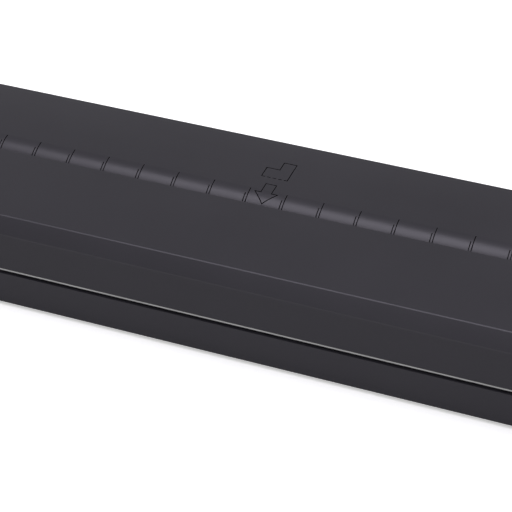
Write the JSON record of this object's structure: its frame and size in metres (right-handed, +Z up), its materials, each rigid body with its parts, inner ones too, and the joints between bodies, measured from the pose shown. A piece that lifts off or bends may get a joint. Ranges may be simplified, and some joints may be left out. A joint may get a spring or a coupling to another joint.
{
  "type": "document scanner",
  "caption": "Slim bar-shaped sheet-fed scanner with a slotted top, an engraved centring scale, a front-hinged lid and a roller drive inside.",
  "frame": {"origin": "on the surface it stands on, under the middle of the body", "axes": "+X along the bar, -Y towards the front where the sheet leaves, +Z up"},
  "size_m": [0.29, 0.0602, 0.0265],
  "materials": {
    "case_plastic": "fine moulded texture, near black",
    "guide_plastic": "smooth black",
    "backing_white": "satin white",
    "label_film": "blank printed film",
    "foot_rubber": "matte",
    "roller_rubber": "ground rubber",
    "idler_plastic": "smooth",
    "steel": "ground",
    "plate_steel": "zinc-plated sheet",
    "black_screws": "black zinc",
    "bronze": "sintered",
    "gear_plastic": "natural acetal",
    "pinion_brass": "machined",
    "motor_metal": "plated steel can",
    "glass": "polished",
    "lens": "black lens block",
    "clear_plastic": "clear",
    "circuit_board": "solder mask",
    "chip_black": "moulded epoxy",
    "socket_plastic": "natural nylon",
    "port_metal": "nickel plate",
    "ribbon": "polyester film",
    "cable_sheath": "flat jacket",
    "button_plastic": "satin black",
    "lamp": "frosted epoxy"
  },
  "bodies": {
    "housing": {"base_shell": "case_plastic", "label_plate": "label_film", "rubber_feet": "foot_rubber", "case_screws": "black_screws", "rear_shelf": "case_plastic", "left_end_cover": "case_plastic", "right_end_cover": "case_plastic", "hinge_pins": "steel", "lower_guide": "guide_plastic", "feed_bushes": "bronze", "exit_bushes": "bronze", "right_side_plate": "plate_steel", "left_side_plate": "plate_steel", "plate_screws": "black_screws", "gear_pins": "steel", "gear_clips": "steel", "motor_can": "motor_metal", "motor_screws": "black_screws", "sensor_frame": "guide_plastic", "sensor_glass": "glass", "lens_array": "lens", "light_guide": "clear_plastic", "sensor_board": "circuit_board", "lever_pin": "steel", "light_gate": "chip_black", "gate_board": "circuit_board", "main_board": "circuit_board", "board_chips": "chip_black", "board_screws": "black_screws", "usb_port": "port_metal", "ribbon_cable": "ribbon", "board_sockets": "socket_plastic", "motor_cable": "cable_sheath", "key_board": "circuit_board", "key_switch": "chip_black", "lamp_pipe": "clear_plastic", "status_lamp": "lamp"},
    "cover": {"top_cover": "case_plastic", "upper_guide": "guide_plastic", "backing_plate": "backing_white"},
    "feed": {"feed_shaft": "steel", "feed_rollers": "roller_rubber", "feed_clip": "steel", "feed_gear": "gear_plastic"},
    "exit": {"exit_shaft": "steel", "exit_rollers": "roller_rubber", "exit_clip": "steel", "exit_gear": "gear_plastic"},
    "front_idler": {"front_idler_gear": "gear_plastic"},
    "reduction": {"reduction_gear": "gear_plastic"},
    "rear_idler": {"rear_idler_gear": "gear_plastic"},
    "motor_rotor": {"motor_shaft": "steel", "motor_pinion": "pinion_brass"},
    "pinch": {"pinch_shaft": "steel", "pinch_rollers": "idler_plastic"},
    "exit_pinch": {"exit_idler_shaft": "steel", "exit_idlers": "idler_plastic"},
    "lever": {"sheet_lever": "guide_plastic"},
    "button": {"power_button": "button_plastic", "switch_plunger": "socket_plastic"}
  },
  "joints": [
    {"name": "cover_hinge", "type": "hinge", "parent": "housing", "child": "cover", "pos_m": [0, -0.02894, 0.0127], "axis": [1, 0, 0], "range_deg": [0, 80]},
    {"name": "feed_spin", "type": "hinge", "parent": "housing", "child": "feed", "pos_m": [0, -0.0085, 0.0075], "axis": [1, 0, 0], "continuous": true},
    {"name": "exit_spin", "type": "hinge", "parent": "housing", "child": "exit", "pos_m": [0, -0.0252, 0.0088], "axis": [1, 0, 0], "continuous": true},
    {"name": "front_idler_spin", "type": "hinge", "parent": "housing", "child": "front_idler", "pos_m": [0, -0.01743, 0.01073], "axis": [1, 0, 0], "continuous": true},
    {"name": "reduction_spin", "type": "hinge", "parent": "housing", "child": "reduction", "pos_m": [0, -0.00278, 0.01235], "axis": [1, 0, 0], "continuous": true},
    {"name": "rear_idler_spin", "type": "hinge", "parent": "housing", "child": "rear_idler", "pos_m": [0, 0.00856, 0.01761], "axis": [1, 0, 0], "continuous": true},
    {"name": "motor_spin", "type": "hinge", "parent": "housing", "child": "motor_rotor", "pos_m": [0, 0.01422, 0.0135], "axis": [1, 0, 0], "continuous": true},
    {"name": "pinch_spin", "type": "hinge", "parent": "cover", "child": "pinch", "pos_m": [0, -0.0085, 0.0139], "axis": [1, 0, 0], "continuous": true},
    {"name": "exit_pinch_spin", "type": "hinge", "parent": "cover", "child": "exit_pinch", "pos_m": [0, -0.0252, 0.0131], "axis": [1, 0, 0], "continuous": true},
    {"name": "lever_swing", "type": "hinge", "parent": "housing", "child": "lever", "pos_m": [0, 0.004, 0.012], "axis": [1, 0, 0], "range_deg": [0, 20], "stiffness_Nm_per_rad": 0.0001, "springref_deg": -17.19},
    {"name": "button_press", "type": "slide", "parent": "housing", "child": "button", "axis": [0, 0, -1], "range_m": [0, 0.0005], "stiffness_N_per_m": 600, "springref_m": -0.0005}
  ],
  "couplings": [
    {"joint": "exit_spin", "follows": "feed_spin", "ratio": 1.6},
    {"joint": "front_idler_spin", "follows": "feed_spin", "ratio": -0.72727},
    {"joint": "reduction_spin", "follows": "feed_spin", "ratio": -1.1429},
    {"joint": "rear_idler_spin", "follows": "feed_spin", "ratio": 2.4286},
    {"joint": "motor_spin", "follows": "feed_spin", "ratio": -3.2381},
    {"joint": "pinch_spin", "follows": "feed_spin", "ratio": -1.3462},
    {"joint": "exit_pinch_spin", "follows": "feed_spin", "ratio": -1.9556}
  ]
}
